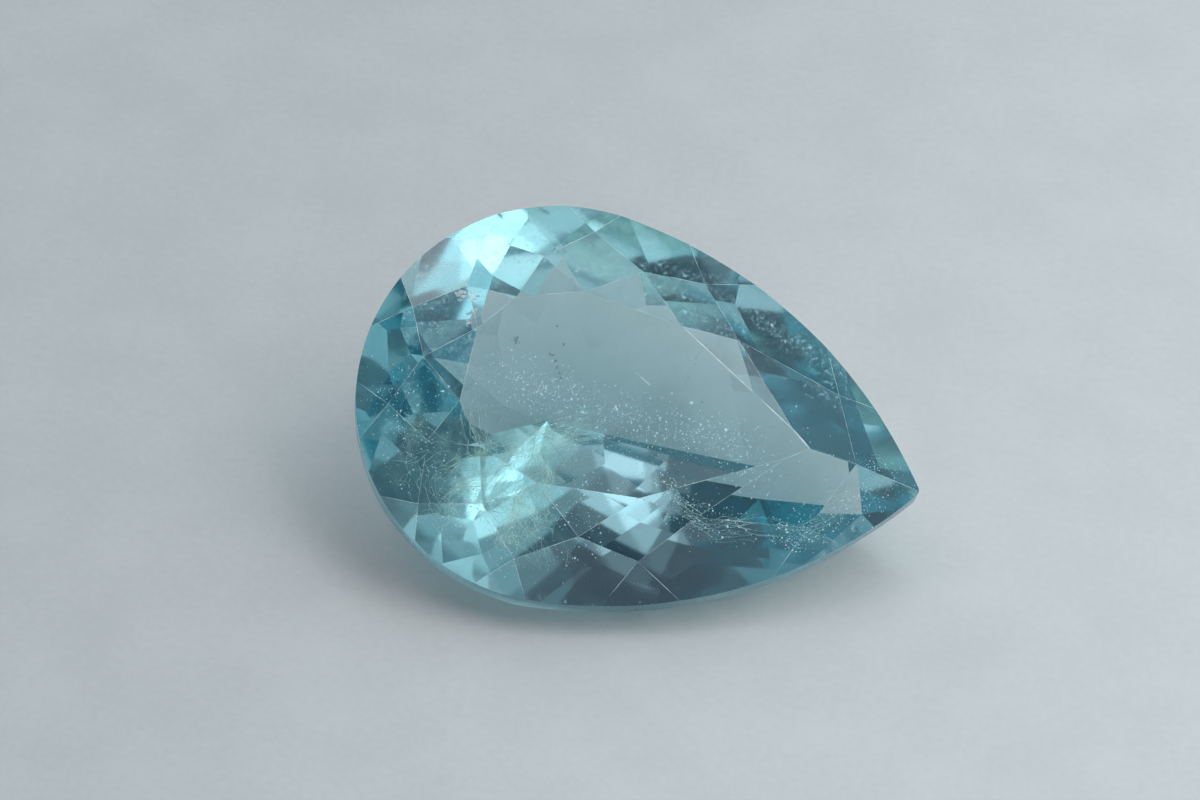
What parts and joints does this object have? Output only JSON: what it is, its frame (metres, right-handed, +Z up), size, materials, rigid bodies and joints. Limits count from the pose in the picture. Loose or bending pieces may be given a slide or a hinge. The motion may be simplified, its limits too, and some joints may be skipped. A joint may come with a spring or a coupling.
{
  "type": "pear-cut gemstone",
  "caption": "Loose transparent blue-green gemstone in a pear cut, with a broad flat table, faceted crown and deep pavilion, lying on one of its lower facets.",
  "frame": {"origin": "centre of the bounding box at the level of the surface that the stone lies on", "axes": "+Z up, away from the surface; +X along the stone's long axis towards its point; the table leans towards -Y"},
  "size_m": [0.0248, 0.0156, 0.0117],
  "materials": {
    "gem": "polished, transparent blue-green"
  },
  "bodies": {
    "root": {"gemstone": "gem"}
  },
  "joints": []
}
